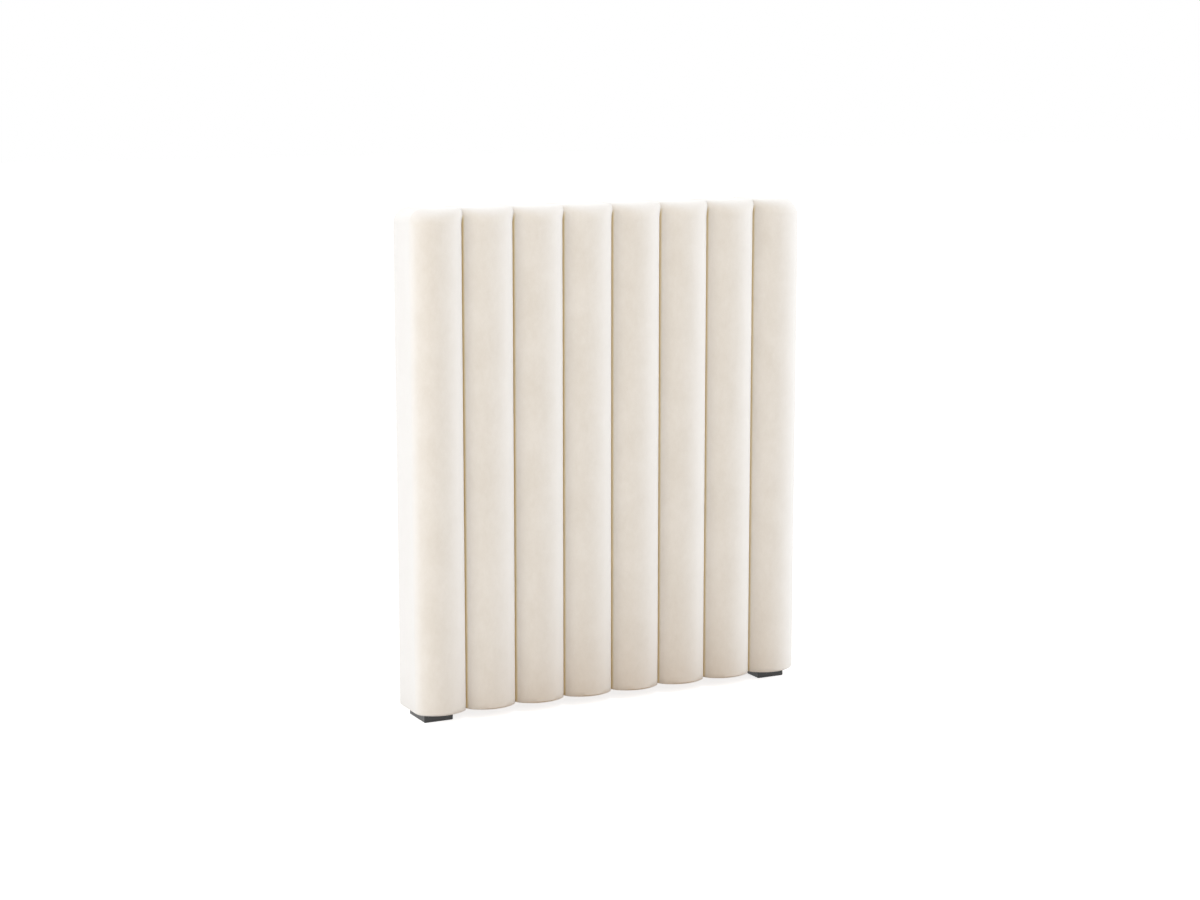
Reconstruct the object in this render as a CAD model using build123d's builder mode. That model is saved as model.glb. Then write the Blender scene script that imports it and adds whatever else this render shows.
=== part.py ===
from build123d import *
from math import radians, sin, sqrt
import os

# Floor-standing headboard: eight upright velvet channels over foam, on a timber
# frame with two low black feet. Millimetres, +Z up, the front faces -Y. The origin
# is on the floor, in the middle of the width and of the whole depth.

# Upholstered channels
channel_count = 8
channel_width = 125
channel_rise = 47  # crown of a channel in front of the grooves beside it
panel_height = 1150  # upholstered part, without the feet
crown_edge_radius = 31  # rounding of a channel's crown into the top
flank_edge_radius = 31  # rounding of the two outer flanks into the top
groove_edge_radius = 6  # rounding of the velvet into a groove that runs over the top
rear_edge_radius = 10  # rounding of the top into the back
rear_corner_radius = 8  # upright rounding of the outer flanks into the back
bottom_edge_bevel = 4  # the velvet is drawn tight over the cut end of the foam
shoulder_share = 0.77  # radius of a channel's two shoulder arcs, as a share of its rise

# Velvet, foam and the gaps between them
velvet_thickness = 1.6
seat_gap = 0.3  # between the velvet and what it is drawn over
seam_depth = 13  # how far a seam is pulled in behind the groove, to the board
top_pad_thickness = 12
side_pad_thickness = 12
hem_width = 25  # velvet turned onto the back

# Timber frame and front board
timber_width = 45
timber_depth = 70
tenon_length = 25
tenon_thickness = 20
tenon_shoulder = 8  # rail left above and below its tenon
joint_clearance = 0.2  # glue line round a tenon
glue_block_leg = 60
glue_block_depth = 40
board_thickness = 9  # plywood, glued and stapled on the frame
cross_rail_shares = (0.4, 0.7)  # heights of the two cross rails, as shares of the frame

# Threaded inserts in the back of the stiles
screw_clearance = 0.1  # radial, round every screw and insert
insert_thread_radius = 3.4  # core of an M8 thread
insert_radius = 6
insert_length = 20
insert_flange_radius = 8
insert_flange_thickness = 1.5
insert_pitch = 100
insert_height = 300  # lower insert above the floor

# Dust cover on the back
dust_cover_thickness = 0.8
dust_cover_margin = 17
dust_hole_clearance = 2  # radial, round an insert's flange

# Feet
foot_width = 71
foot_height = 23
foot_inset = 22.5  # from the headboard's end
foot_overhang = 6  # in front of the grooves
foot_rear_inset = 10  # from the back
foot_bevel = 1.5
foot_screw_radius = 2.25
foot_screw_head_radius = 4.5
foot_screw_head_height = 3
foot_screw_length = 42
foot_screw_recess = 11
foot_screw_pitch = 36  # both ways, so a foot's two screws pass beside the tenon

overrun = 5  # how far a cut runs past what it cuts

top_turns = (0, 22.5, 45, 67.5, 90)  # angles of the sections that round into the top

# Places worked out from the sizes above
overall_width = channel_count * channel_width
body_depth = seam_depth + board_thickness + timber_depth + seat_gap + velvet_thickness
overall_depth = channel_rise + body_depth + dust_cover_thickness
crown_y = -overall_depth / 2
groove_y = crown_y + channel_rise
board_y = groove_y + seam_depth
frame_y = board_y + board_thickness
frame_rear_y = frame_y + timber_depth
rear_y = groove_y + body_depth
panel_bottom = foot_height
panel_top = foot_height + panel_height
skin = velvet_thickness + seat_gap
frame_bottom = panel_bottom + skin
frame_top = panel_top - skin - top_pad_thickness
frame_half_width = overall_width / 2 - skin - side_pad_thickness
frame_height = frame_top - frame_bottom
frame_middle_y = frame_y + timber_depth / 2
rail_half_length = frame_half_width - timber_width
stile_x = frame_half_width - timber_width / 2
foot_x = overall_width / 2 - foot_inset - foot_width / 2
foot_front_y = groove_y - foot_overhang
foot_rear_y = rear_y - foot_rear_inset
foot_y = (foot_front_y + foot_rear_y) / 2

# The inserts as (x, z) and the foot screws as (x, y). Of a foot's two screws the
# inner one goes into the bottom rail and the outer one into the stile.
insert_places = [
    (side * stile_x, insert_height + row * insert_pitch) for side in (-1, 1) for row in (0, 1)
]
foot_screw_places = [
    (side * (foot_x + row * foot_screw_pitch / 2), frame_middle_y + row * foot_screw_pitch / 2)
    for side in (-1, 1)
    for row in (-1, 1)
]
foot_screw_hole_radius = foot_screw_radius + screw_clearance
foot_screw_hole = foot_screw_recess + foot_screw_length - frame_bottom + screw_clearance

os.makedirs("parts", exist_ok=True)


def save(piece, name):
    piece.part.label = name
    export_step(piece.part, f"parts/{name}.step")


def block(low, high, mode=Mode.ADD):
    """A box between two corners, added to or cut from the sub-part being built."""
    size = Vector(*high) - Vector(*low)
    with Locations(Vector(*low)):
        Box(size.X, size.Y, size.Z, align=(Align.MIN, Align.MIN, Align.MIN), mode=mode)


def setback(radius, distance):
    """How far a rounded edge has drawn in, at a distance from the face it meets."""
    run = min(max(radius - distance, 0), radius)
    return radius - sqrt(radius**2 - run**2)


def levels(inset):
    """Heights of a channel's sections, from its bottom edge to its top."""
    radius = crown_edge_radius - inset
    top = [panel_top - inset - radius * (1 - sin(radians(turn))) for turn in top_turns]
    return [panel_bottom + inset, panel_bottom + bottom_edge_bevel] + top


def bevel(level):
    """How far the bottom edge has drawn in at a height."""
    return max(panel_bottom + bottom_edge_bevel - level, 0)


def channel_left(index):
    """Left side of a channel, from the first, whose index is 0."""
    return (index - channel_count / 2) * channel_width


def side_reach(index, level, inset):
    """Left and right side of a channel at a height, drawn in where its edges round."""
    above = panel_top - inset - level
    groove = inset + setback(groove_edge_radius - inset, above)
    flank = inset + setback(flank_edge_radius - inset, above) + bevel(level)
    left = channel_left(index) + (flank if index == 0 else groove)
    right = channel_left(index + 1) - (flank if index == channel_count - 1 else groove)
    return left, right


def channel_section(index, level, inset):
    """Plan of a channel: a crown arc between two shoulder arcs, and straight sides."""
    left, right = side_reach(index, level, inset)
    above = panel_top - inset - level
    rise = channel_rise - inset - setback(crown_edge_radius - inset, above) - bevel(level)
    back = rear_y - inset - setback(rear_edge_radius - inset, above)
    middle = (left + right) / 2
    shoulder = shoulder_share * rise
    spread = (right - left) / 2 - shoulder
    crown = (spread**2 + rise**2 - shoulder**2) / (2 * (rise - shoulder))
    lean = Vector(spread, crown - rise).normalized()
    tangent = Vector(spread + shoulder * lean.X, shoulder * lean.Y)
    turn = Vector(1 + lean.X, lean.Y).normalized()
    waist = Vector(spread + shoulder * turn.X, shoulder * turn.Y)
    with BuildSketch(Plane.XY.offset(level)) as section:
        with BuildLine():
            Line((left, back), (left, groove_y))
            ThreePointArc(
                (left, groove_y),
                (middle - waist.X, groove_y - waist.Y),
                (middle - tangent.X, groove_y - tangent.Y),
            )
            ThreePointArc(
                (middle - tangent.X, groove_y - tangent.Y),
                (middle, groove_y - rise),
                (middle + tangent.X, groove_y - tangent.Y),
            )
            ThreePointArc(
                (middle + tangent.X, groove_y - tangent.Y),
                (middle + waist.X, groove_y - waist.Y),
                (right, groove_y),
            )
            Line((right, groove_y), (right, back))
            Line((right, back), (left, back))
        make_face()
        rear = section.vertices().group_by(Axis.Y)[-1].sort_by(Axis.X)
        if index == 0:
            fillet(rear[0], rear_corner_radius - inset)
        if index == channel_count - 1:
            fillet(rear[-1], rear_corner_radius - inset)
    return section.sketch


def channel_form(index, inset, mode=Mode.ADD):
    """A channel's whole form, or the space inside it at an inset, in the sub-part being built."""
    loft([channel_section(index, level, inset) for level in levels(inset)], ruled=True, mode=mode)


def drill(plane, places, radius, amount):
    """Round holes cut into the sub-part from a plane, along its normal if amount is above 0."""
    with BuildSketch(plane) as holes:
        with Locations(*places):
            Circle(radius)
    extrude(holes.sketch, amount=amount, mode=Mode.SUBTRACT)


# Timber frame: two stiles, and four rails tenoned into them
under_frame = Plane.XY.offset(frame_bottom)
back_of_frame = Plane.XZ.offset(-frame_rear_y)
tenon_height = timber_width - 2 * tenon_shoulder
tenon_end = rail_half_length + tenon_length
rail_centres = {
    "bottom_rail": frame_bottom + timber_width / 2,
    "lower_cross_rail": frame_bottom + cross_rail_shares[0] * frame_height,
    "upper_cross_rail": frame_bottom + cross_rail_shares[1] * frame_height,
    "top_rail": frame_top - timber_width / 2,
}

for name, centre in rail_centres.items():
    with BuildPart() as rail:
        block(
            (-rail_half_length, frame_y, centre - timber_width / 2),
            (rail_half_length, frame_rear_y, centre + timber_width / 2),
        )
        block(
            (-tenon_end, frame_middle_y - tenon_thickness / 2, centre - tenon_height / 2),
            (tenon_end, frame_middle_y + tenon_thickness / 2, centre + tenon_height / 2),
        )
        if name == "bottom_rail":
            drill(under_frame, foot_screw_places, foot_screw_hole_radius, foot_screw_hole)
    save(rail, name)

mortise_end = tenon_end + joint_clearance
mortise_half_depth = tenon_thickness / 2 + joint_clearance
mortise_half_height = tenon_height / 2 + joint_clearance
with BuildPart() as right_stile:
    block((rail_half_length, frame_y, frame_bottom), (frame_half_width, frame_rear_y, frame_top))
    for centre in rail_centres.values():
        block(
            (
                rail_half_length - overrun,
                frame_middle_y - mortise_half_depth,
                centre - mortise_half_height,
            ),
            (mortise_end, frame_middle_y + mortise_half_depth, centre + mortise_half_height),
            mode=Mode.SUBTRACT,
        )
    drill(
        back_of_frame,
        insert_places,
        insert_radius + screw_clearance,
        insert_length + screw_clearance,
    )
    drill(under_frame, foot_screw_places, foot_screw_hole_radius, foot_screw_hole)
save(right_stile, "right_stile")

with BuildPart() as left_stile:
    mirror(right_stile.part, about=Plane.YZ)
save(left_stile, "left_stile")

# Glue blocks in the four corners of the frame, three-cornered and glued to both timbers
for name, side, rail_name, lift in (
    ("bottom_left_glue_block", -1, "bottom_rail", 1),
    ("bottom_right_glue_block", 1, "bottom_rail", 1),
    ("top_left_glue_block", -1, "top_rail", -1),
    ("top_right_glue_block", 1, "top_rail", -1),
):
    corner_x = side * rail_half_length
    corner_z = rail_centres[rail_name] + lift * timber_width / 2
    with BuildPart() as glue_block:
        with BuildSketch(Plane.XZ.offset(-frame_middle_y)):
            with BuildLine():
                Polyline(
                    (corner_x, corner_z),
                    (corner_x - side * glue_block_leg, corner_z),
                    (corner_x, corner_z + lift * glue_block_leg),
                    close=True,
                )
            make_face()
        extrude(amount=glue_block_depth / 2, both=True)
    save(glue_block, name)

# Plywood front board, which closes the frame and carries the foam and the seams
with BuildPart() as front_board:
    block((-frame_half_width, board_y, frame_bottom), (frame_half_width, frame_y, frame_top))
save(front_board, "front_board")

# Foam under each cover: the core in front of the board, and the pad over the top rail
for index in range(channel_count):
    left = channel_left(index)
    right = channel_left(index + 1)
    with BuildPart() as core:
        channel_form(index, skin)
        block((left, crown_y, panel_bottom), (right, board_y, panel_top), mode=Mode.INTERSECT)
    save(core, f"channel_{index + 1}_foam")
    with BuildPart() as top_pad:
        channel_form(index, skin)
        block((left, board_y, frame_top), (right, rear_y, panel_top), mode=Mode.INTERSECT)
    save(top_pad, f"channel_{index + 1}_top_pad")

# Foam side pads on the outer faces of the stiles
with BuildPart() as left_pad:
    channel_form(0, skin)
    block(
        (-overall_width / 2, board_y, panel_bottom),
        (-frame_half_width, rear_y, frame_top),
        mode=Mode.INTERSECT,
    )
save(left_pad, "left_side_pad")

with BuildPart() as right_pad:
    mirror(left_pad.part, about=Plane.YZ)
save(right_pad, "right_side_pad")

# Velvet channel covers. Each is one panel of the sewn cover: over the crown, pulled
# in to the board at its seams, over the top, under the bottom and onto the back.
for index in range(channel_count):
    first = index == 0
    last = index == channel_count - 1
    left = channel_left(index)
    right = channel_left(index + 1)
    cavity_left = (left + right) / 2 if first else left - overrun
    cavity_right = (left + right) / 2 if last else right + overrun
    window_left = left + hem_width if first else left - overrun
    window_right = right - hem_width if last else right + overrun
    with BuildPart() as cover:
        channel_form(index, 0)
        channel_form(index, velvet_thickness, mode=Mode.SUBTRACT)
        block(
            (cavity_left, board_y - seat_gap, panel_bottom + velvet_thickness),
            (cavity_right, rear_y - velvet_thickness, frame_top + seat_gap),
            mode=Mode.SUBTRACT,
        )
        block(
            (window_left, rear_y - velvet_thickness - overrun, panel_bottom + hem_width),
            (window_right, rear_y + overrun, panel_top - hem_width),
            mode=Mode.SUBTRACT,
        )
        if first or last:
            drill(Plane.XY.offset(panel_bottom), foot_screw_places, foot_screw_hole_radius, skin)
    save(cover, f"channel_{index + 1}_cover")

# Threaded inserts, flanged sleeves pressed into the back of the stiles
flange_face = back_of_frame.offset(-insert_flange_thickness)
with BuildPart() as threaded_inserts:
    with BuildSketch(back_of_frame):
        with Locations(*insert_places):
            Circle(insert_radius)
    extrude(amount=insert_length)
    with BuildSketch(back_of_frame):
        with Locations(*insert_places):
            Circle(insert_flange_radius)
    extrude(amount=-insert_flange_thickness)
    drill(flange_face, insert_places, insert_thread_radius, insert_flange_thickness + insert_length)
save(threaded_inserts, "threaded_inserts")

# Non-woven dust cover, stapled over the hem, with a hole over each insert
with BuildPart() as dust_cover:
    with BuildSketch(Plane.XZ.offset(-rear_y)):
        with Locations((0, (panel_bottom + panel_top) / 2)):
            Rectangle(
                overall_width - 2 * dust_cover_margin, panel_height - 2 * dust_cover_margin
            )
        with Locations(*insert_places):
            Circle(insert_flange_radius + dust_hole_clearance, mode=Mode.SUBTRACT)
    extrude(amount=-dust_cover_thickness)
save(dust_cover, "dust_cover")

# Feet, moulded blocks screwed up through the velvet into the frame
for name, side in (("left_foot", -1), ("right_foot", 1)):
    with BuildPart() as foot:
        with BuildSketch():
            with Locations((side * foot_x, foot_y)):
                Rectangle(foot_width, foot_rear_y - foot_front_y)
        extrude(amount=foot_height)
        chamfer(foot.edges().filter_by(Axis.Z) + foot.edges().group_by(Axis.Z)[0], foot_bevel)
        drill(Plane.XY, foot_screw_places, foot_screw_hole_radius, foot_height)
        drill(Plane.XY, foot_screw_places, foot_screw_head_radius + seat_gap, foot_screw_recess)
    save(foot, name)

# Foot screws, with their heads up in the recesses of the feet
with BuildPart() as foot_screws:
    with BuildSketch(Plane.XY.offset(foot_screw_recess)):
        with Locations(*foot_screw_places):
            Circle(foot_screw_head_radius)
    extrude(amount=-foot_screw_head_height)
    with BuildSketch(Plane.XY.offset(foot_screw_recess)):
        with Locations(*foot_screw_places):
            Circle(foot_screw_radius)
    extrude(amount=foot_screw_length)
save(foot_screws, "foot_screws")
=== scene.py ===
from math import atan2, ceil, cos, exp, pi, radians, sin, sqrt

import bmesh
import bpy
from mathutils import Matrix, Vector, noise


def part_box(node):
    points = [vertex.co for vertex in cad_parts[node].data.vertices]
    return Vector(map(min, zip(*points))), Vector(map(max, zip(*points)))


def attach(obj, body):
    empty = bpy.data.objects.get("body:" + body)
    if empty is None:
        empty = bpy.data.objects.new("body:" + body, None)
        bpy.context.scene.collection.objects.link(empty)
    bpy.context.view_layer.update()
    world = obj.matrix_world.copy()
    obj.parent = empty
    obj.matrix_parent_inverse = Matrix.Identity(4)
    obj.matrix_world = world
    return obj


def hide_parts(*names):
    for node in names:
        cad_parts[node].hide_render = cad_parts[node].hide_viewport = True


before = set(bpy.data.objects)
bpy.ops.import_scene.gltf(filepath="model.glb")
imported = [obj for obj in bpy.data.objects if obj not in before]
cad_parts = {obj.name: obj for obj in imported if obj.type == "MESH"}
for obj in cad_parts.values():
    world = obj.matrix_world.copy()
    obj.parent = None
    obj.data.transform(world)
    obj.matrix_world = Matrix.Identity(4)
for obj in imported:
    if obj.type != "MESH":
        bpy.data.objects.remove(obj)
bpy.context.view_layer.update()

# Timber frame: two stiles, four rails and four glue blocks of planed pine, tenoned and
# glued. The pieces keep their own solids and get the grain of pine along their length.
MM = 0.001
PINE_LIGHT = (0.66, 0.47, 0.27, 1)
PINE_DARK = (0.44, 0.26, 0.12, 1)
PINE_RING = 7 * MM
PLANED_ROUGHNESS = 0.7
LONG_GRAIN = (0.08, 1, 1)
ALONG_X = (0, 0, 0)
ALONG_Z = (0, pi / 2, 0)
WAVE_PITCH = 0.314  # of the rings in a wave texture at a scale of 1, in metres
RING_WOBBLE = 1.5
SWAY_SCALE = 6  # slow bends of the grain, per metre
SWAY = (20 * MM, 20 * MM, 20 * MM)  # how far they go
FIBRE_SCALE = 900
RING_RELIEF = 0.4  # against 1 for the fibres
GRAIN_DEPTH = 0.4 * MM
UPRIGHTS = ("left_stile", "right_stile")
RAILS = ("bottom_rail", "lower_cross_rail", "upper_cross_rail", "top_rail")
GLUE_BLOCKS = [
    f"{height}_{side}_glue_block" for height in ("bottom", "top") for side in ("left", "right")
]


def add(tree, kind, inputs=(), **settings):
    """A shader node with its settings, and with values or links on its inputs."""
    made = tree.nodes.new(f"ShaderNode{kind}")
    for name, value in settings.items():
        setattr(made, name, value)
    for key, value in dict(inputs).items():
        if isinstance(value, bpy.types.NodeSocket):
            tree.links.new(value, made.inputs[key])
        else:
            made.inputs[key].default_value = value
    return made


def blend(tree, share, first, second, mode="MIX"):
    """The colour between two others, at a share from 0 to 1."""
    # A Mix node has its share on socket 0, plain values on 2 and 3 and colours on 6 and 7.
    made = add(tree, "Mix", {0: share, 6: first, 7: second}, data_type="RGBA", blend_type=mode)
    return made.outputs[2]


def new_group(name, inputs, outputs):
    """A shader node group with named inputs and outputs, and the sockets inside it."""
    tree = bpy.data.node_groups.new(name, "ShaderNodeTree")
    for kind, socket_name, default in inputs:
        made = tree.interface.new_socket(
            name=socket_name, in_out="INPUT", socket_type=f"NodeSocket{kind}"
        )
        if default is not None:
            made.default_value = default
    for kind, socket_name in outputs:
        tree.interface.new_socket(
            name=socket_name, in_out="OUTPUT", socket_type=f"NodeSocket{kind}"
        )
    return tree, tree.nodes.new("NodeGroupInput").outputs, tree.nodes.new("NodeGroupOutput").inputs


def new_material(name, values):
    """A material whose Principled BSDF has these plain values on its own sockets."""
    material = bpy.data.materials.new(name)
    material.use_nodes = True
    tree = material.node_tree
    shader = tree.nodes["Principled BSDF"]
    for key, value in values.items():
        shader.inputs[key].default_value = value
    return material, tree, shader.inputs


def paint(piece, material):
    """Gives a piece its one material."""
    piece.data.materials.clear()
    piece.data.materials.append(material)


grain, given, out = new_group(
    "wood_grain",
    [
        ("Vector", "Vector", None),
        ("Float", "Ring", PINE_RING),
        ("Color", "Light", PINE_LIGHT),
        ("Color", "Dark", PINE_DARK),
    ],
    [("Color", "Color"), ("Float", "Height")],
)
sway = add(grain, "TexNoise", {"Vector": given["Vector"], "Scale": SWAY_SCALE, "Detail": 2})
swayed = add(
    grain,
    "VectorMath",
    {0: sway.outputs["Color"], 1: SWAY, 2: given["Vector"]},
    operation="MULTIPLY_ADD",
)
ring_scale = add(grain, "Math", {0: WAVE_PITCH, 1: given["Ring"]}, operation="DIVIDE")
rings = add(
    grain,
    "TexWave",
    {
        "Vector": swayed.outputs[0],
        "Scale": ring_scale.outputs[0],
        "Distortion": RING_WOBBLE,
        "Detail": 2,
    },
    wave_type="RINGS",
    rings_direction="X",
)
fibre = add(grain, "TexNoise", {"Vector": given["Vector"], "Scale": FIBRE_SCALE, "Detail": 3})
relief = add(
    grain,
    "Math",
    {0: rings.outputs["Fac"], 1: RING_RELIEF, 2: fibre.outputs["Fac"]},
    operation="MULTIPLY_ADD",
)
figure = blend(grain, rings.outputs["Fac"], given["Light"], given["Dark"])
grain.links.new(figure, out["Color"])
grain.links.new(relief.outputs[0], out["Height"])


def wood(name, light, dark, ring, turn, stretch, roughness):
    """Wood whose grain runs along X after the turn and is drawn out by the stretch."""
    material, tree, shader = new_material(name, {"Roughness": roughness})
    place = add(tree, "TexCoord").outputs["Object"]
    laid = add(tree, "Mapping", {"Vector": place, "Rotation": turn, "Scale": stretch}).outputs[0]
    values = {"Vector": laid, "Ring": ring, "Light": light, "Dark": dark}
    marks = add(tree, "Group", values, node_tree=grain).outputs
    bump = add(tree, "Bump", {"Strength": 0.3, "Distance": GRAIN_DEPTH, "Height": marks["Height"]})
    tree.links.new(marks["Color"], shader["Base Color"])
    tree.links.new(bump.outputs[0], shader["Normal"])
    return material


PINE = (PINE_LIGHT, PINE_DARK, PINE_RING)
pine_rail = wood("pine_rail", *PINE, ALONG_X, LONG_GRAIN, PLANED_ROUGHNESS)
pine_stile = wood("pine_stile", *PINE, ALONG_Z, LONG_GRAIN, PLANED_ROUGHNESS)
for name in (*UPRIGHTS, *RAILS, *GLUE_BLOCKS):
    paint(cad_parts[name], pine_stile if name in UPRIGHTS else pine_rail)

# Front board: one sheet of birch plywood, glued and stapled on the front of the frame.
# It closes the frame, and carries the foam and the seams of the cover.
BIRCH_LIGHT = (0.72, 0.56, 0.36, 1)
BIRCH_DARK = (0.58, 0.42, 0.25, 1)
VENEER_RING = 24 * MM
VENEER_GRAIN = (0.1, 1, 1)
SANDED_ROUGHNESS = 0.6
birch = wood(
    "birch_ply", BIRCH_LIGHT, BIRCH_DARK, VENEER_RING, ALONG_Z, VENEER_GRAIN, SANDED_ROUGHNESS
)
paint(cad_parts["front_board"], birch)
BOARD_LOW, BOARD_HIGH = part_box("front_board")

# Foam: a D-shaped core under each channel's cover, a pad over the top rail and a pad on
# each stile. Cut from cream upholstery foam with open pores, and glued to board and frame.
CHANNELS = 8
WIDTH = 125 * MM
RISE = 47 * MM  # crown of a channel in front of the grooves beside it
SHOULDER_SHARE = 0.77  # radius of a channel's shoulders, as a share of its rise
TOP_EDGE = 36 * MM  # rounding of crown and outer flanks into the top
GROOVE_FADE = (9 * MM, 38 * MM)  # a groove comes forward between these depths below the top
GROOVE_FILL = 0.36  # how far it comes forward, as a share of the crown's height
SHOULDER_LOSS = 0.85  # share of the shoulders' radius that is gone there
GROOVE_EDGE = 6 * MM
REAR_EDGE = 10 * MM
REAR_CORNER = 8 * MM
BOTTOM_BEVEL = 4 * MM
VELVET = 1.6 * MM
FOAM_GAP = 0.3 * MM
SKIN = VELVET + FOAM_GAP  # from the outer form in to the foam
SHOULDER_STEPS = 11
CROWN_STEPS = 22
FRONT_STEPS = 2 * SHOULDER_STEPS + CROWN_STEPS
TAIL_STEPS = 5  # of the side's, along the seam tail in front of the board
SIDE_STEPS = 17
CORNER_STEPS = 5  # of the side's, round the corner into the back
TOP_STEPS = 14
PAD_STRIDE = 4  # a top pad keeps every fourth point of its back
CREASE = radians(40)  # between two faces, from which their edge is sharp
FOAM_ROW = 40 * MM  # between two rows of points up a core
FOAM_CREAM = (0.86, 0.79, 0.57, 1)
# painted shade in the foam's pores
FOAM_PORE_SHADE = (0.5, 0.42, 0.25, 1)
PORE = 1.1 * MM
PORE_DEPTH = 0.5 * MM
FOAM_TONE_SCALE = 14
COVER_LOW, COVER_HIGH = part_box("channel_4_cover")
BOTTOM = COVER_LOW.z
TOP = COVER_HIGH.z
GROOVE_Y = COVER_LOW.y + RISE
REAR_Y = COVER_HIGH.y


def drawn_in(radius, distance):
    """How far a rounded edge has drawn in, at a distance from the face that it meets."""
    run = min(max(radius - distance, 0), radius)
    return radius - sqrt(radius**2 - run**2)


def eased(value, low, high):
    """A smooth step from 0 at low to 1 at high."""
    share = min(max((value - low) / (high - low), 0), 1)
    return share * share * (3 - 2 * share)


def levels(inset, row):
    """Heights of a channel's rows: its bevelled bottom, its length and its rounded top."""
    radius = TOP_EDGE - inset
    low = BOTTOM + BOTTOM_BEVEL
    high = TOP - inset - radius
    count = round((high - low) / row)
    foot = [BOTTOM + inset, (BOTTOM + inset + low) / 2]
    body = [low + (high - low) * n / count for n in range(count)]
    head = [high + radius * sin(pi / 2 * n / TOP_STEPS) for n in range(TOP_STEPS + 1)]
    return foot + body + head


def front_curve(left, right, rise, share, left_fill, right_fill):
    """A channel's front as points (x, how far forward), with its ends at the grooves.

    Each half's fill is the share of its way to the crown by which it comes forward.
    """
    middle = (left + right) / 2
    shoulder = share * rise
    spread = (right - left) / 2 - shoulder
    crown = (spread**2 + rise**2 - shoulder**2) / (2 * (rise - shoulder))
    meet = atan2(crown - rise, spread)
    crown_turns = [
        meet + (pi / 2 - meet) * n / (CROWN_STEPS // 2) for n in range(CROWN_STEPS // 2 + 1)
    ]
    half = []
    for n in range(SHOULDER_STEPS):
        turn = meet * n / SHOULDER_STEPS
        half.append((spread + shoulder * cos(turn), shoulder * sin(turn)))
    for turn in crown_turns:
        half.append((crown * cos(turn), rise - crown + crown * sin(turn)))
    left_half = [(middle - x, y + left_fill * (rise - y)) for x, y in half]
    right_half = [(middle + x, y + right_fill * (rise - y)) for x, y in half[-2::-1]]
    return left_half + right_half


def side_curve(x, front, back, corner):
    """A channel's side: its seam tail, then straight to the back or round a corner."""
    inward = 1 if x < 0 else -1
    points = [(x, front + (BOARD_LOW.y - front) * n / TAIL_STEPS) for n in range(TAIL_STEPS)]
    straight = SIDE_STEPS - TAIL_STEPS - (CORNER_STEPS if corner else 0)
    run = back - corner - BOARD_LOW.y
    points += [(x, BOARD_LOW.y + run * n / straight) for n in range(straight + 1)]
    for n in range(1, CORNER_STEPS + 1 if corner else 1):
        turn = pi / 2 * n / CORNER_STEPS
        points.append((x + inward * corner * (1 - cos(turn)), back - corner * (1 - sin(turn))))
    return points


def channel_span(index):
    """Where a channel starts and ends in x, and whether it is the first or the last."""
    left = (index - CHANNELS / 2) * WIDTH
    return left, left + WIDTH, index == 0, index == CHANNELS - 1


def channel_ring(index, z, inset, back, rear_edge):
    """The four sides of a channel's section at a height: front, right, back and left."""
    left, right, first, last = channel_span(index)
    above = TOP - inset - z
    bevel = max(BOTTOM + BOTTOM_BEVEL - z, 0)
    groove = inset + drawn_in(GROOVE_EDGE - inset, above)
    drawn = drawn_in(TOP_EDGE - inset, above)
    faded = 1 - eased(TOP - z, *GROOVE_FADE)
    fill = (GROOVE_FILL - 2 * inset / RISE) * faded  # less for the foam than for its cover
    front = [
        (x, GROOVE_Y - forward)
        for x, forward in front_curve(
            left + (inset + drawn + bevel if first else groove),
            right - (inset + drawn + bevel if last else groove),
            RISE - inset - drawn - bevel,
            SHOULDER_SHARE * (1 - SHOULDER_LOSS * faded),
            0 if first else fill,
            0 if last else fill,
        )
    ]
    back = back - drawn_in(rear_edge, above)
    corner = REAR_CORNER - inset if rear_edge else 0
    left_side = side_curve(*front[0], back, corner if first else 0)
    right_side = side_curve(*front[-1], back, corner if last else 0)
    start, stop = left_side[-1][0], right_side[-1][0]
    rear = [
        (start + (stop - start) * (x - front[0][0]) / (front[-1][0] - front[0][0]), back)
        for x, _ in front
    ]
    return front, right_side, rear, left_side


def cap_points(sides, z):
    """The inner points of a level face that a section's four sides bound."""
    front, right, rear, left = sides
    rows = []
    for m in range(1, SIDE_STEPS):
        deep = m / SIDE_STEPS
        row = []
        for n in range(1, FRONT_STEPS):
            along = n / FRONT_STEPS
            point = []
            for axis in (0, 1):
                between = (1 - deep) * front[n][axis] + deep * rear[n][axis]
                left_chord = (1 - deep) * left[0][axis] + deep * left[-1][axis]
                right_chord = (1 - deep) * right[0][axis] + deep * right[-1][axis]
                left_lean = (1 - along) * (left[m][axis] - left_chord)
                right_lean = along * (right[m][axis] - right_chord)
                point.append(between + left_lean + right_lean)
            row.append((*point, z))
        rows.append(row)
    return rows


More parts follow.
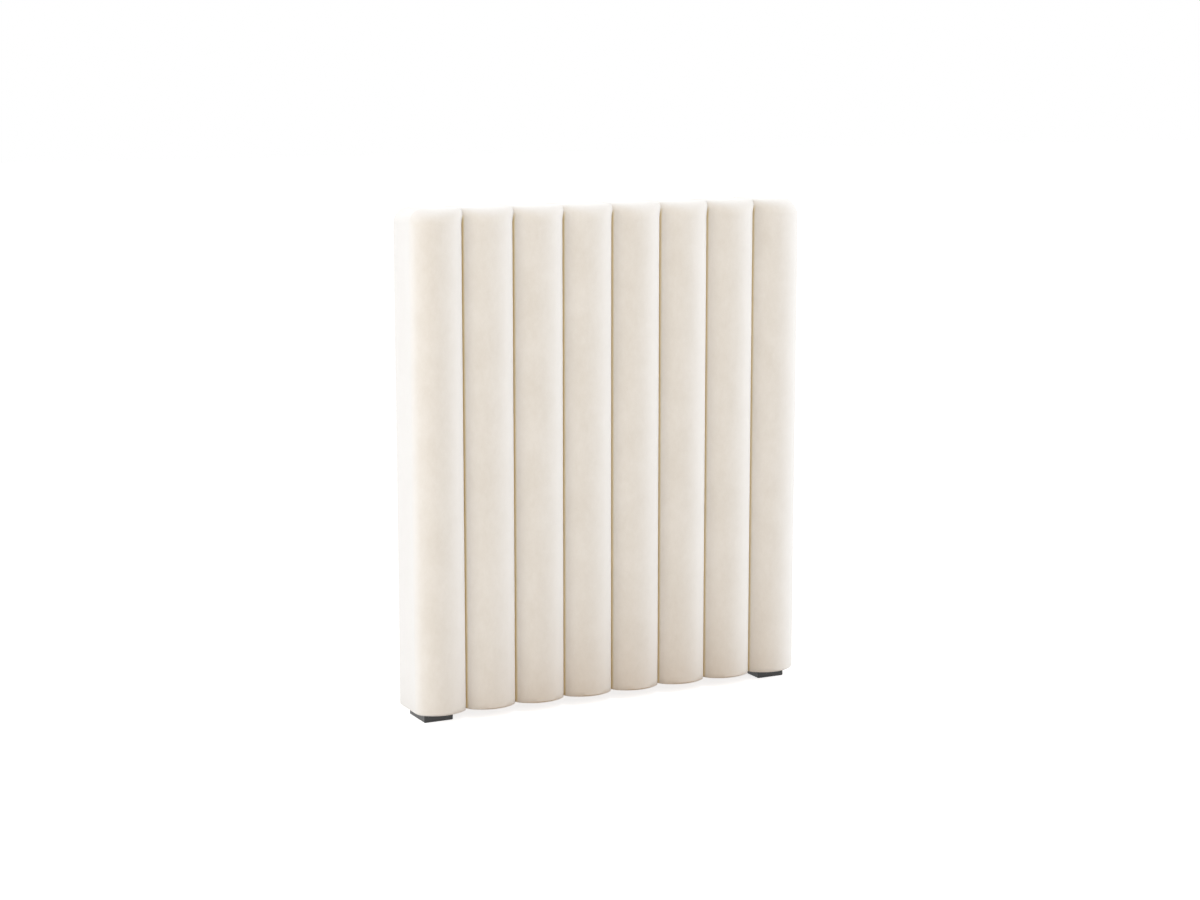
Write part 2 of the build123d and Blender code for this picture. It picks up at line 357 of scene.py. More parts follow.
def channel_mesh(index, inset, row, back, rear_edge, keep=None):
    """Points and faces of a channel's closed form, less the faces that keep refuses."""
    points = []
    rings = []
    caps = {}
    heights = levels(inset, row)
    for z in heights:
        sides = channel_ring(index, z, inset, back, rear_edge)
        front, right, rear, left = sides
        loop = front + right[1:] + rear[-2::-1] + left[-2:0:-1]
        rings.append(range(len(points), len(points) + len(loop)))
        points += [(x, y, z) for x, y in loop]
        if z in (heights[0], heights[-1]):
            caps[z] = cap_points(sides, z)
    size = len(rings[0])
    faces = [
        (low[n], low[(n + 1) % size], high[(n + 1) % size], high[n])
        for low, high in zip(rings, rings[1:])
        for n in range(size)
    ]
    for z, ring in ((heights[0], rings[0]), (heights[-1], rings[-1])):
        grid = [list(ring[: FRONT_STEPS + 1])]
        for m, row_points in enumerate(caps[z], 1):
            first = len(points)
            points += row_points
            inner = list(range(first, first + len(row_points)))
            grid.append([ring[-m], *inner, ring[FRONT_STEPS + m]])
        back_start = FRONT_STEPS + SIDE_STEPS
        grid.append(list(ring[back_start : back_start + FRONT_STEPS + 1])[::-1])
        for near, far in zip(grid, grid[1:]):
            for n in range(FRONT_STEPS):
                face = (near[n], near[n + 1], far[n + 1], far[n])
                faces.append(face if z == heights[-1] else face[::-1])
    if keep:
        faces = [
            face
            for face in faces
            if keep(sum((Vector(points[n]) for n in face), Vector()) / len(face))
        ]
    used = sorted({n for face in faces for n in face})
    place = {n: m for m, n in enumerate(used)}
    return [points[n] for n in used], [tuple(place[n] for n in face) for face in faces]


def behind_board(side):
    """The points of a section's side from the front of the board to the back."""
    return [(x, y) for x, y in side if y >= BOARD_LOW.y]


def prism(rings):
    """Points and faces of a form through like rings, with flat ends."""
    size = len(rings[0])
    points = [point for ring in rings for point in ring]
    last = len(points) - size
    faces = []
    for start in range(0, last, size):
        for n in range(size):
            m = (n + 1) % size
            faces.append((start + n, start + m, start + size + m, start + size + n))
    faces += [tuple(reversed(range(size))), tuple(range(last, last + size))]
    return points, faces


def add_piece(name, points, faces, material, slot):
    """A smooth mesh piece that rides on the headboard's one body."""
    mesh = bpy.data.meshes.new(name)
    mesh.from_pydata(points, [], faces)
    mesh.validate()
    mesh.shade_smooth()
    mesh.set_sharp_from_angle(angle=CREASE)
    piece = bpy.data.objects.new(name, mesh)
    bpy.context.scene.collection.objects.link(piece)
    paint(piece, material)
    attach(piece, "root")
    return piece


foam, tree, shader = new_material("upholstery_foam", {"Roughness": 0.95, "Specular IOR Level": 0.2})
place = add(tree, "TexCoord").outputs["Object"]
pores = add(tree, "TexVoronoi", {"Vector": place, "Scale": 1 / PORE}).outputs["Distance"]
pore_mask = add(tree, "MapRange", {"Value": pores, "From Max": 0.5, "To Min": 1, "To Max": 0})
tone = add(tree, "TexNoise", {"Vector": place, "Scale": FOAM_TONE_SCALE, "Detail": 3})
# Painted shade: the pores, where the bump sinks, are darker, more so in patches of the tone noise.
pore_share = add(
    tree, "Math", {0: pore_mask.outputs[0], 1: tone.outputs["Fac"]}, operation="MULTIPLY"
)
bump = add(tree, "Bump", {"Strength": 0.5, "Distance": PORE_DEPTH, "Height": pores})
tree.links.new(blend(tree, pore_share.outputs[0], FOAM_CREAM, FOAM_PORE_SHADE), shader["Base Color"])
tree.links.new(bump.outputs[0], shader["Normal"])

for index in range(CHANNELS):
    number = index + 1
    core = add_piece(
        f"foam_core_{number}",
        *channel_mesh(index, SKIN, FOAM_ROW, BOARD_LOW.y, 0),
        foam,
        "foam",
    )
    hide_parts(f"channel_{number}_foam")
    pad_low, pad_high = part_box(f"channel_{number}_top_pad")
    rings = []
    for n in range(TOP_STEPS + 1):
        z = pad_low.z + (pad_high.z - pad_low.z) * sin(pi / 2 * n / TOP_STEPS)
        _, right, rear, left = channel_ring(index, z, SKIN, REAR_Y - SKIN, REAR_EDGE - SKIN)
        loop = behind_board(right) + rear[-2:0:-PAD_STRIDE] + behind_board(left)[::-1]
        rings.append([(x, y, z) for x, y in loop])
    pad = add_piece(f"foam_top_pad_{number}", *prism(rings), foam, "foam")
    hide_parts(f"channel_{number}_top_pad")

for side, index in (("left", 0), ("right", CHANNELS - 1)):
    pad_low, pad_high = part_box(f"{side}_side_pad")
    inner_x = pad_high.x if side == "left" else pad_low.x
    rings = []
    for z in levels(SKIN, FOAM_ROW):
        if z > pad_high.z:
            break
        _, right, _, left = channel_ring(index, z, SKIN, REAR_Y - SKIN, REAR_EDGE - SKIN)
        outer = behind_board(left if side == "left" else right)
        loop = outer + [(inner_x, outer[-1][1]), (inner_x, BOARD_LOW.y)]
        rings.append([(x, y, z) for x, y in (loop[::-1] if side == "left" else loop)])
    pad = add_piece(f"foam_side_pad_{side}", *prism(rings), foam, "foam")
    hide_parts(f"{side}_side_pad")

# Velvet cover: one cream velvet panel over each channel, sewn to its neighbours, pulled
# in to the board at the seams, and drawn over the top and ends onto the back.
HEM = 25 * MM  # of the velvet, on the back
COVER_ROW = 9 * MM
WHITE = (1, 1, 1, 1)
NAP_LIGHT = (0.825, 0.765, 0.69, 1)
NAP_DARK = (0.725, 0.655, 0.565, 1)
PAINTED_SHEEN_COLOUR = (0.975, 0.973, 0.97, 1)  # painted sheen: the pile's colour seen edge on, mixed into the base colour
PAINTED_SHEEN_TURN = 0.75  # how early the painted sheen starts to show, towards edge on
# greatest share of painted sheen in the base colour
PAINTED_SHEEN_SHARE = 0.8
SHEEN_TINT = (1, 0.985, 0.96, 1)
PAINTED_GROOVE_SHADE = (0.9, 0.73, 0.3, 1)  # painted shade of the velvet deep in a groove, where only light off the velvet comes
GROOVE_SHADE_REACH = 6.5 * MM
GROOVE_LIT = GROOVE_FADE[1] / 3  # depth below the top, above which a groove has no painted shade
PATCH = 70 * MM  # where the nap lies one way
STROKE = 14 * MM
PILE = 0.7 * MM
PATCH_STRETCH = (1, 1, 0.7)
STROKE_STRETCH = (1, 1, 0.6)
STROKE_WEIGHT = 1.2  # against 1 for the patches
PILE_WEIGHT = 0.7
STROKE_RELIEF = 0.6  # against 1 for the pile
NAP_DEPTH = 0.3 * MM
NEAR = 1 * MM  # of a plane, within which a point counts as on it
SEAM_NEAR = 0.3 * MM
SWELL = 0.7 * MM
SEAM_CALM = 14 * MM  # beside a seam, where the swells grow
END_CALM = 30 * MM  # above the bottom, where they grow too
FLANK_CALM = 0.3  # share of the swells left on the outer flanks, which lie on firm foam
FLANK_START = 4 * MM  # in front of the grooves
PUCKER = 0.2 * MM
PUCKER_PLACE = 5 * MM  # from the seam
PUCKER_REACH = 9 * MM
PUCKER_PITCH = 24 * MM
SHORT_SHARE = 0.4  # of the short swells, against the long ones
LONG_SWELLS = (7.3, 9, 5.5)  # steps in the noise per channel, and per metre of x and of z
SHORT_SWELLS = (3.1, 22, 14)
SHORT_START = 40  # in the noise, so that the short swells don't repeat the long ones
TUCKS = (5.7, 20, 1 / PUCKER_PITCH)

nap, given, out = new_group(
    "nap_marks",
    [
        ("Vector", "Vector", None),
        ("Float", "Patch", PATCH),
        ("Float", "Stroke", STROKE),
        ("Float", "Pile", PILE),
        ("Color", "Light", NAP_LIGHT),
        ("Color", "Dark", NAP_DARK),
    ],
    [("Color", "Color"), ("Float", "Height")],
)


def spots(tree, place, size, detail, roughness, stretch=(1, 1, 1)):
    """Noise with blotches of a size, from an input that gives the size."""
    laid = add(tree, "VectorMath", {0: place, 1: stretch}, operation="MULTIPLY").outputs[0]
    scale = add(tree, "Math", {0: 1, 1: size}, operation="DIVIDE").outputs[0]
    made = add(
        tree,
        "TexNoise",
        {"Vector": laid, "Scale": scale, "Detail": detail, "Roughness": roughness},
    )
    return made.outputs["Fac"]


def weighted(tree, value, weight, rest):
    """A value times its weight, added to the rest."""
    return add(tree, "Math", {0: value, 1: weight, 2: rest}, operation="MULTIPLY_ADD").outputs[0]


place = given["Vector"]
patches = spots(nap, place, given["Patch"], detail=3, roughness=0.5, stretch=PATCH_STRETCH)
strokes = spots(nap, place, given["Stroke"], detail=5, roughness=0.8, stretch=STROKE_STRETCH)
pile = spots(nap, place, given["Pile"], detail=2, roughness=0.5)
wide = add(nap, "MapRange", {"Value": patches, "From Min": 0.35, "From Max": 0.65}).outputs[0]
fine = add(nap, "MapRange", {"Value": strokes, "From Min": 0.3, "From Max": 0.7}).outputs[0]
marked = weighted(nap, pile, PILE_WEIGHT, weighted(nap, fine, STROKE_WEIGHT, wide))
light_share = add(
    nap,
    "Math",
    {0: marked, 1: 1 + STROKE_WEIGHT + PILE_WEIGHT},
    operation="DIVIDE",
    use_clamp=True,
)
nap_colour = blend(nap, light_share.outputs[0], given["Dark"], given["Light"])
nap.links.new(nap_colour, out["Color"])
nap.links.new(weighted(nap, strokes, STROKE_RELIEF, pile), out["Height"])

velvet, tree, shader = new_material(
    "cream_velvet",
    {
        "Roughness": 0.9,
        "Specular IOR Level": 0.15,
        "Sheen Weight": 0.35,
        "Sheen Roughness": 0.4,
        "Sheen Tint": SHEEN_TINT,
    },
)
place = add(tree, "TexCoord").outputs["Object"]
marks = add(
    tree,
    "Group",
    {
        "Vector": place,
        "Patch": PATCH,
        "Stroke": STROKE,
        "Pile": PILE,
        "Light": NAP_LIGHT,
        "Dark": NAP_DARK,
    },
    node_tree=nap,
).outputs

# Painted shade: an occlusion mask tints the velvet deep in the grooves, and not where they run out
# below the top.
groove_occlusion = add(tree, "AmbientOcclusion", {"Distance": GROOVE_SHADE_REACH})
up = add(tree, "SeparateXYZ", {0: place}).outputs["Z"]
opened = add(
    tree,
    "MapRange",
    {"Value": up, "From Min": TOP - GROOVE_FADE[1], "From Max": TOP - GROOVE_LIT},
)
lit = add(tree, "Math", {0: groove_occlusion.outputs["AO"], 1: opened.outputs[0]}, operation="MAXIMUM")
deep = blend(tree, lit.outputs[0], PAINTED_GROOVE_SHADE, WHITE)
# Painted sheen: the base colour turns toward near white where the velvet is seen edge on.
edge_on = add(tree, "LayerWeight", {"Blend": PAINTED_SHEEN_TURN})
painted_sheen_mask = add(tree, "Math", {0: edge_on.outputs["Facing"], 1: PAINTED_SHEEN_SHARE}, operation="MULTIPLY")
colour_with_painted_sheen = blend(tree, painted_sheen_mask.outputs[0], marks["Color"], PAINTED_SHEEN_COLOUR)
bump = add(tree, "Bump", {"Strength": 0.25, "Distance": NAP_DEPTH, "Height": marks["Height"]})
tree.links.new(blend(tree, 1, colour_with_painted_sheen, deep, "MULTIPLY"), shader["Base Color"])
tree.links.new(bump.outputs[0], shader["Normal"])


def cover_keeps(index):
    """Whether a face of a channel's form is velvet, and not the open inside or back."""
    left, right, first, last = channel_span(index)

    def keep(centre):
        inner_left = not first and centre.x < left + SEAM_NEAR
        inner_right = not last and centre.x > right - SEAM_NEAR
        if (inner_left or inner_right) and centre.y > BOARD_LOW.y:
            return centre.z > BOARD_HIGH.z or centre.z < BOTTOM + BOTTOM_BEVEL / 2
        if centre.y > REAR_Y - NEAR and BOTTOM + HEM < centre.z < TOP - HEM:
            return (first and centre.x < left + HEM) or (last and centre.x > right - HEM)
        return True

    return keep


def waver(place, index, steps, start=0):
    """Noise from -1 to 1 on a channel, with its steps per channel and per metre of x and z."""
    return noise.noise(Vector((index * steps[0] + start, place.x * steps[1], place.z * steps[2])))


def settle(piece, index):
    """Gives the sewn velvet its small swells and, beside its seams, its puckers."""
    left, right, first, last = channel_span(index)
    middle = left + WIDTH / 2
    moves = []
    for vertex in piece.data.vertices:
        place = vertex.co
        if place.y > GROOVE_Y + NEAR and place.z < TOP - NEAR:
            moves.append(0)
            continue
        to_seam = min(place.x - left, right - place.x)
        if (first and place.x < middle) or (last and place.x > middle):
            to_seam = WIDTH / 2
        free = 1 - exp(-max(to_seam, 0) / SEAM_CALM)
        if place.y > GROOVE_Y - FLANK_START:
            free *= FLANK_CALM
        ends = min(1, (place.z - BOTTOM) / END_CALM)
        long_swell = waver(place, index, LONG_SWELLS)
        short_swell = waver(place, index, SHORT_SWELLS, SHORT_START)
        swell = SWELL * (long_swell + SHORT_SHARE * short_swell) * free * ends
        near_seam = exp(-(((to_seam - PUCKER_PLACE) / PUCKER_REACH) ** 2))
        pucker = PUCKER * waver(place, index, TUCKS) * near_seam * ends
        moves.append(swell + pucker)
    normals = [normal.vector.copy() for normal in piece.data.vertex_normals]
    for vertex, normal, move in zip(piece.data.vertices, normals, moves):
        vertex.co += normal * move


for index in range(CHANNELS):
    number = index + 1
    cover = add_piece(
        f"velvet_channel_{number}",
        *channel_mesh(index, 0, COVER_ROW, REAR_Y, REAR_EDGE, cover_keeps(index)),
        velvet,
        "velvet",
    )
    settle(cover, index)
    thick = cover.modifiers.new("velvet", "SOLIDIFY")
    thick.thickness = VELVET
    thick.offset = -1
    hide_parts(f"channel_{number}_cover")

# Dust cover: black non-woven cloth with a hot-cut edge, stretched over the open back. It
# is stapled over the hem of the velvet, and has a hole over each threaded insert.
DUST_LOW, DUST_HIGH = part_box("dust_cover")
FRAME_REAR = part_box("top_rail")[1].y
OPEN_HALF_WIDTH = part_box("right_stile")[0].x
OPENINGS = [(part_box(below)[1].z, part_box(above)[0].z) for below, above in zip(RAILS, RAILS[1:])]
DUST_WIDTH = DUST_HIGH.x - DUST_LOW.x
DUST_HEIGHT = DUST_HIGH.z - DUST_LOW.z
DUST_CLOTH = 0.3 * MM
DUST_CELL = 6 * MM
HEM_STEP = (8 * MM, 24 * MM)  # from the edge, where the cloth comes down off the velvet's hem
STAPLE_PITCH = 55 * MM
STAPLE_IN = 5 * MM
TENT = 0.5 * MM  # half of how far the cloth stands up between two staples
TENT_REACH = 22 * MM
SAG = 5 * MM
SAG_REACH = 38 * MM
SAG_POWER = 1.5  # of the way that it grows away from the timber
UNEVEN = 0.5  # share by which it differs from place to place
SLACK = (7, 3.7, 5)  # steps in the noise per metre of x, a start, and steps per metre of z
FINE_SLACK = (19, 8.1, 13)
FINE_SHARE = 0.5
CRINKLE = 0.12 * MM
CRINKLES = (45, 1.9, 45)
DUST_BLACK = (0.011, 0.011, 0.012, 1)
DUST_GREY = (0.034, 0.033, 0.032, 1)
BOND = 1.3 * MM  # pitch of the pressed bond points
FIBRES_SCALE = 1400
LINT_SCALE = 9
FIBRES_RELIEF = 0.5  # against 1 for the bond points
CLOTH_DEPTH = 0.15 * MM
INSERT_HOLE = 10 * MM
HOLE_SIDES = 48
INSERTS_LOW, INSERTS_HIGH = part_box("threaded_inserts")
INSERT_PITCH = 100 * MM
FLANGE = (INSERTS_HIGH.z - INSERTS_LOW.z - INSERT_PITCH) / 2
INSERT_X = INSERTS_HIGH.x - FLANGE
INSERT_HEIGHTS = (INSERTS_LOW.z + FLANGE, INSERTS_HIGH.z - FLANGE)
across_count = round(DUST_WIDTH / STAPLE_PITCH)
upright_count = round(DUST_HEIGHT / STAPLE_PITCH)
across_pitch = DUST_WIDTH / across_count
upright_pitch = DUST_HEIGHT / upright_count


def flutter(x, z, steps):
    """Noise from -1 to 1 on the cloth, with its steps per metre of x and z."""
    return noise.noise(Vector((x * steps[0], steps[1], z * steps[2])))


def dust_face(x, z):
    """Where the outer face of the dust cover lies, at a place on the back."""
    from_side = min(x - DUST_LOW.x, DUST_HIGH.x - x)
    from_end = min(z - DUST_LOW.z, DUST_HIGH.z - z)
    if from_side < from_end:
        edge, along, pitch = from_side, z - DUST_LOW.z, upright_pitch
    else:
        edge, along, pitch = from_end, x - DUST_LOW.x, across_pitch
    on_hem = REAR_Y + DUST_CLOTH
    on_frame = FRAME_REAR + 2 * DUST_CLOTH
    face = on_hem + (on_frame - on_hem) * eased(edge, *HEM_STEP)
    face += TENT * (1 + cos(2 * pi * along / pitch)) * exp(-edge / TENT_REACH)
    inside = OPEN_HALF_WIDTH - abs(x)
    gap = max(min(inside, z - low, high - z) for low, high in OPENINGS)
    if gap > 0:
        loose = 1 - exp(-((gap / SAG_REACH) ** SAG_POWER))
        slack = flutter(x, z, SLACK) + FINE_SHARE * flutter(x, z, FINE_SLACK)
        face -= SAG * loose * (1 + UNEVEN * slack)
    return face + CRINKLE * flutter(x, z, CRINKLES)


dust_material, tree, shader = new_material(
    "black_non_woven", {"Roughness": 0.8, "Specular IOR Level": 0.35}
)
place = add(tree, "TexCoord").outputs["Object"]
bonds = add(
    tree, "TexVoronoi", {"Vector": place, "Scale": 1 / BOND, "Randomness": 0.25}, feature="F1"
)
bond_mask = add(
    tree,
    "MapRange",
    {"Value": bonds.outputs["Distance"], "From Min": 0.15, "From Max": 0.4},
    interpolation_type="SMOOTHSTEP",
)
fibres = add(
    tree, "TexNoise", {"Vector": place, "Scale": FIBRES_SCALE, "Detail": 3, "Roughness": 0.7}
).outputs["Fac"]
lint = add(tree, "TexNoise", {"Vector": place, "Scale": LINT_SCALE, "Detail": 4}).outputs["Fac"]
fluff = add(tree, "Math", {0: fibres, 1: lint}, operation="MULTIPLY").outputs[0]
grey_share = add(tree, "MapRange", {"Value": fluff, "From Min": 0.15, "From Max": 0.4}).outputs[0]
relief = weighted(tree, fibres, FIBRES_RELIEF, bond_mask.outputs[0])
bump = add(tree, "Bump", {"Strength": 0.6, "Distance": CLOTH_DEPTH, "Height": relief})
tree.links.new(blend(tree, grey_share, DUST_BLACK, DUST_GREY), shader["Base Color"])
tree.links.new(bump.outputs[0], shader["Normal"])

columns = ceil(DUST_WIDTH / DUST_CELL)
rows = ceil(DUST_HEIGHT / DUST_CELL)
points = []
for m in range(rows + 1):
    z = DUST_LOW.z + DUST_HEIGHT * m / rows
    for n in range(columns + 1):
        x = DUST_LOW.x + DUST_WIDTH * n / columns
        points.append((x, dust_face(x, z), z))
faces = []
for m in range(rows):
    for n in range(columns):
        corner = m * (columns + 1) + n
        faces.append((corner, corner + columns + 1, corner + columns + 2, corner + 1))
dust_cover = add_piece("dust_cover_cloth", points, faces, dust_material, "dust_cover")
thick = dust_cover.modifiers.new("cloth", "SOLIDIFY")
thick.thickness = DUST_CLOTH
thick.offset = -1

# The holes are cut through the thick cloth, which is then kept as a plain mesh.
drill = bmesh.new()
for x in (-INSERT_X, INSERT_X):
    for z in INSERT_HEIGHTS:
        bmesh.ops.create_cone(
            drill,
            cap_ends=True,
            segments=HOLE_SIDES,
            radius1=INSERT_HOLE,
            radius2=INSERT_HOLE,
            depth=2 * INSERT_HOLE,
            matrix=Matrix.Translation((x, FRAME_REAR, z)) @ Matrix.Rotation(pi / 2, 4, "X"),
        )
drill_mesh = bpy.data.meshes.new("insert_holes")
drill.to_mesh(drill_mesh)
drill.free()
drill_piece = bpy.data.objects.new("insert_holes", drill_mesh)
bpy.context.scene.collection.objects.link(drill_piece)
cut = dust_cover.modifiers.new("holes", "BOOLEAN")
cut.object = drill_piece
cut.solver = "EXACT"
bpy.context.view_layer.update()
graph = bpy.context.evaluated_depsgraph_get()
dust_mesh = bpy.data.meshes.new_from_object(dust_cover.evaluated_get(graph))
dust_cover.modifiers.clear()
dust_cover.data = dust_mesh
paint(dust_cover, dust_material)
bpy.data.objects.remove(drill_piece)
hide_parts("dust_cover")

# Staples round the dust cover: galvanised wire with a flat crown, driven in through the
# cloth and the hem. Each sits a little off its line, as one shot by hand does.
WIRE = 0.6 * MM
WIRE_SIDES = 8
CROWN = 10 * MM
LEG = 2 * MM  # of a leg, as far as it is modelled
SCATTER = 1.2 * MM
TILT = radians(7)
SHOTS = ((1.7, 0.5), (2.3, 4.5), (3.1, 9.5))  # noise steps per staple and starts: x, z, turn
WIRE_BRIGHT = (0.5, 0.5, 0.49, 1)
WIRE_DULL = (0.3, 0.3, 0.3, 1)
WIRE_CLOUD = 4 * MM
WIRE_ROUGHNESS = 0.4
MARKS_PER_CLOUD = 12
GLOSSIER = 0.1
DULLER = 0.15
MARK_DEPTH = 0.05 * MM


def steel(name, bright, dull, cloud_size, roughness):
    """Plated steel: clouded in tone and gloss, with fine marks in its surface."""
    material, tree, shader = new_material(name, {"Metallic": 1})
    place = add(tree, "TexCoord").outputs["Object"]
    cloud = add(tree, "TexNoise", {"Vector": place, "Scale": 1 / cloud_size, "Detail": 4})
    marks = add(
        tree, "TexNoise", {"Vector": place, "Scale": MARKS_PER_CLOUD / cloud_size, "Detail": 2}
    ).outputs["Fac"]
    gloss = add(
        tree,
        "MapRange",
        {"Value": marks, "To Min": roughness - GLOSSIER, "To Max": roughness + DULLER},
    )
    bump = add(tree, "Bump", {"Strength": 0.25, "Distance": MARK_DEPTH, "Height": marks})
    tree.links.new(blend(tree, cloud.outputs["Fac"], dull, bright), shader["Base Color"])
    tree.links.new(gloss.outputs[0], shader["Roughness"])
    tree.links.new(bump.outputs[0], shader["Normal"])
    return material


galvanised = steel("galvanised_wire", WIRE_BRIGHT, WIRE_DULL, WIRE_CLOUD, WIRE_ROUGHNESS)
staple_path = [(-CROWN / 2, -LEG), (-CROWN / 2, -WIRE), (-CROWN / 2 + WIRE / 2, 0)]
staple_path += [(-x, y) for x, y in staple_path[::-1]]
places = []
for n in range(across_count):
    x = DUST_LOW.x + (n + 0.5) * across_pitch
    places += [(x, DUST_LOW.z + STAPLE_IN, 0), (x, DUST_HIGH.z - STAPLE_IN, 0)]
for n in range(upright_count):
    z = DUST_LOW.z + (n + 0.5) * upright_pitch
    places += [(DUST_LOW.x + STAPLE_IN, z, pi / 2), (DUST_HIGH.x - STAPLE_IN, z, pi / 2)]
points = []
faces = []
for number, (x, z, turn) in enumerate(places):
    slips = [noise.noise(Vector((number * step, start, 0))) for step, start in SHOTS]
    x += SCATTER * slips[0]
    z += SCATTER * slips[1]
    turn += TILT * slips[2]
    top = dust_face(x, z) + WIRE / 2
    first = len(points)
    for k, (along, out_by) in enumerate(staple_path):
        before = Vector(staple_path[max(k - 1, 0)])
        after = Vector(staple_path[min(k + 1, len(staple_path) - 1)])
        heading = (after - before).normalized()
        for n in range(WIRE_SIDES):
            angle = 2 * pi * (n + 0.5) / WIRE_SIDES
            flat = WIRE / 2 * cos(angle)
            wide = WIRE * sin(angle)
            run = along - heading.y * flat
            points.append(
                (
                    x + run * cos(turn) - wide * sin(turn),
                    top + out_by + heading.x * flat,
                    z + run * sin(turn) + wide * cos(turn),
                )
            )
    last = len(points) - WIRE_SIDES
    for start in range(first, last, WIRE_SIDES):
        for n in range(WIRE_SIDES):
            here = start + n
            beside = start + (n + 1) % WIRE_SIDES
            faces.append((here, here + WIRE_SIDES, beside + WIRE_SIDES, beside))
    faces += [tuple(range(first, first + WIRE_SIDES)), tuple(range(last, len(points)))[::-1]]
add_piece("staples", points, faces, galvanised, "screw_steel")

# Threaded inserts: zinc-plated flanged sleeves pressed into the back of the stiles, for
# the bolts of a bed's brackets. They show through the holes in the dust cover.
ZINC_BRIGHT = (0.45, 0.43, 0.38, 1)
ZINC_DULL = (0.24, 0.23, 0.2, 1)
ZINC_CLOUD = 5 * MM
ZINC_ROUGHNESS = 0.35
zinc = steel("zinc_plate", ZINC_BRIGHT, ZINC_DULL, ZINC_CLOUD, ZINC_ROUGHNESS)
paint(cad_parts["threaded_inserts"], zinc)

# Feet: two low blocks of black moulded plastic with a fine grain, each screwed up through
# the velvet into the frame by two screws, whose heads are sunk in its sole.
FOOT_BLACK = (0.009, 0.009, 0.0095, 1)
FOOT_SCUFF = (0.05, 0.05, 0.05, 1)
FOOT_GRAIN = 0.5 * MM
FOOT_GRAIN_DEPTH = 0.08 * MM
FOOT_WEAR = 0.5 * MM
FOOT_ROUGHNESS = (0.22, 0.42)  # from the wiped places to the dull ones
SMEAR_SCALE = 60
SCUFF_SCALE = 420
SCUFF_HEIGHT = 3 * MM
SCUFF_FROM = (0.62, 0.75)  # noise above this is a scuff, at the sole and above the scuffs' height
SCREW_BRIGHT = (0.3, 0.3, 0.3, 1)
SCREW_DULL = (0.16, 0.16, 0.16, 1)
black, tree, shader = new_material("black_plastic", {"Specular IOR Level": 0.6})
place = add(tree, "TexCoord").outputs["Object"]
skin = add(tree, "TexVoronoi", {"Vector": place, "Scale": 1 / FOOT_GRAIN}, feature="SMOOTH_F1")
smears = add(tree, "TexNoise", {"Vector": place, "Scale": SMEAR_SCALE, "Detail": 4})
scuffs = add(tree, "TexNoise", {"Vector": place, "Scale": SCUFF_SCALE, "Detail": 3, "Distortion": 1})
up = add(tree, "SeparateXYZ", {0: place}).outputs["Z"]
scuff_from = add(
    tree,
    "MapRange",
    {"Value": up, "From Max": SCUFF_HEIGHT, "To Min": SCUFF_FROM[0], "To Max": SCUFF_FROM[1]},
)
scuffed = add(
    tree,
    "Math",
    {0: scuffs.outputs["Fac"], 1: scuff_from.outputs[0]},
    operation="GREATER_THAN",
)
gloss = add(
    tree,
    "MapRange",
    {"Value": smears.outputs["Fac"], "To Min": FOOT_ROUGHNESS[0], "To Max": FOOT_ROUGHNESS[1]},
)
bump = add(
    tree,
    "Bump",
    {"Strength": 0.2, "Distance": FOOT_GRAIN_DEPTH, "Height": skin.outputs["Distance"]},
)
tree.links.new(blend(tree, scuffed.outputs[0], FOOT_BLACK, FOOT_SCUFF), shader["Base Color"])
tree.links.new(gloss.outputs[0], shader["Roughness"])
tree.links.new(bump.outputs[0], shader["Normal"])
for name in ("left_foot", "right_foot"):
    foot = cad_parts[name]
    paint(foot, black)
    worn = foot.modifiers.new("worn_edges", "BEVEL")
    worn.width = FOOT_WEAR
    worn.segments = 2
    worn.limit_method = "ANGLE"
screw = steel("black_zinc_screw", SCREW_BRIGHT, SCREW_DULL, ZINC_CLOUD, ZINC_ROUGHNESS)
paint(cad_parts["foot_screws"], screw)

# Studio: a plain pale floor and backdrop that the camera sees as white, a soft dome and
# five soft boxes, and the camera to the left of the headboard's front, above its middle.
FLOOR_SPAN = 30
FLOOR_WHITE = (0.8, 0.8, 0.8, 1)
FLOOR_GLOW = 0.78
PAINTED_FLOOR_SHADE = (0.34, 0.2, 0.06, 1)  # painted shade on the floor round the headboard, in the light that the floor gives back
BOUNCE_REACH = (0.5, 0.28)  # of that shade from the middle of the floor, in x and y
BOUNCE_EDGE = (0.6, 1.3)  # shares of its reach between which it runs out
DOME = 0.5  # strength of the light from all round, which the camera sees as 1
SOFT_BOXES = {  # the place, size and power of each lamp
    "left_box": ((-4.5, -0.5, 1.8), 2.5, 76),
    "right_box": ((4.2, -1.2, 1.8), 2.5, 65),
    "front_box": ((-1.4, -4.5, 1.8), 2.5, 41),
    "top_box": ((0, -1.6, 4.6), 2, 36),
    "back_box": ((0.5, 3.2, 4.2), 3, 66),
}
LENS = 71.11
CAMERA_PLACE = (-2.4866, -4.8959, 1.4994)
CAMERA_TURN = radians(26.806)
CAMERA_PITCH = radians(9.3627)

floor_mesh = bpy.data.meshes.new("floor")
floor_mesh.from_pydata(
    [(x * FLOOR_SPAN, y * FLOOR_SPAN, 0) for x, y in ((-1, -1), (1, -1), (1, 1), (-1, 1))],
    [],
    [(0, 1, 2, 3)],
)
floor = bpy.data.objects.new("floor", floor_mesh)
bpy.context.scene.collection.objects.link(floor)
floor_material, tree, shader = new_material(
    "studio_floor",
    {
        "Roughness": 0.8,
        "Specular IOR Level": 0,
        "Emission Color": WHITE,
    },
)


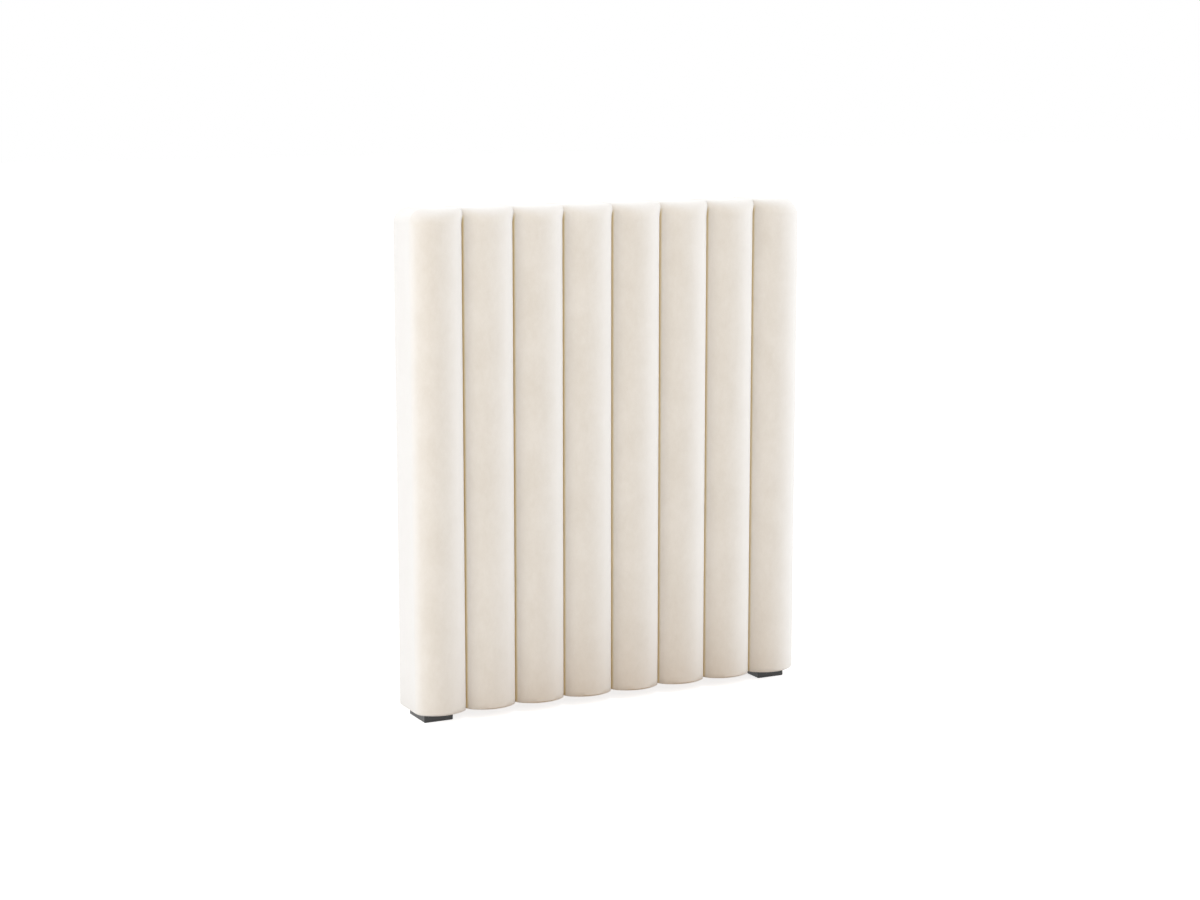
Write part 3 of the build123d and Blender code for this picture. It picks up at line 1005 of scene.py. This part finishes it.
def seen_directly(tree):
    """1 for rays from the camera or off a gloss, and 0 for the light that falls on things."""
    rays = add(tree, "LightPath").outputs
    seen = add(tree, "Math", {0: rays["Is Camera Ray"], 1: rays["Is Glossy Ray"]}, operation="ADD")
    seen = add(tree, "Math", {0: seen.outputs[0], 1: rays["Is Transmission Ray"]}, operation="ADD")
    return seen.outputs[0]


seen = seen_directly(tree)
glow = add(tree, "Math", {0: seen, 1: FLOOR_GLOW}, operation="MULTIPLY")
# Painted shade: round the headboard the floor gives back darker, warmer light, which darkens the
# headboard's lower ends; the camera still sees the floor white.
place = add(tree, "TexCoord").outputs["Object"]
in_reaches = add(
    tree,
    "VectorMath",
    {0: place, 1: (1 / BOUNCE_REACH[0], 1 / BOUNCE_REACH[1], 1)},
    operation="MULTIPLY",
)
away = add(tree, "VectorMath", {0: in_reaches.outputs[0]}, operation="LENGTH")
clear = add(
    tree,
    "MapRange",
    {"Value": away.outputs["Value"], "From Min": BOUNCE_EDGE[0], "From Max": BOUNCE_EDGE[1]},
    interpolation_type="SMOOTHSTEP",
)
bounce_with_painted_shade = blend(tree, clear.outputs[0], PAINTED_FLOOR_SHADE, FLOOR_WHITE)
tree.links.new(blend(tree, seen, bounce_with_painted_shade, FLOOR_WHITE), shader["Base Color"])
tree.links.new(glow.outputs[0], shader["Emission Strength"])
floor.data.materials.append(floor_material)

world = bpy.data.worlds.new("studio")
bpy.context.scene.world = world
world.use_nodes = True
tree = world.node_tree
sky = tree.nodes["Background"]
level = add(tree, "Mix", {0: seen_directly(tree), 2: DOME, 3: 1})
tree.links.new(level.outputs[0], sky.inputs["Strength"])
sky.inputs["Color"].default_value = WHITE

for name, (place, size, power) in SOFT_BOXES.items():
    lamp = bpy.data.lights.new(name, "AREA")
    lamp.shape = "SQUARE"
    lamp.size = size
    lamp.energy = power
    soft_box = bpy.data.objects.new(name, lamp)
    aim = Vector((0, 0, (BOTTOM + TOP) / 2)) - Vector(place)
    soft_box.location = place
    soft_box.rotation_euler = aim.to_track_quat("-Z", "Y").to_euler()
    bpy.context.scene.collection.objects.link(soft_box)

camera_data = bpy.data.cameras.new("camera")
camera_data.lens = LENS
camera = bpy.data.objects.new("camera", camera_data)
camera.location = CAMERA_PLACE
camera.rotation_euler = (pi / 2 - CAMERA_PITCH, 0, -CAMERA_TURN)
bpy.context.scene.collection.objects.link(camera)
bpy.context.scene.camera = camera
bpy.context.scene.view_settings.view_transform = "Standard"
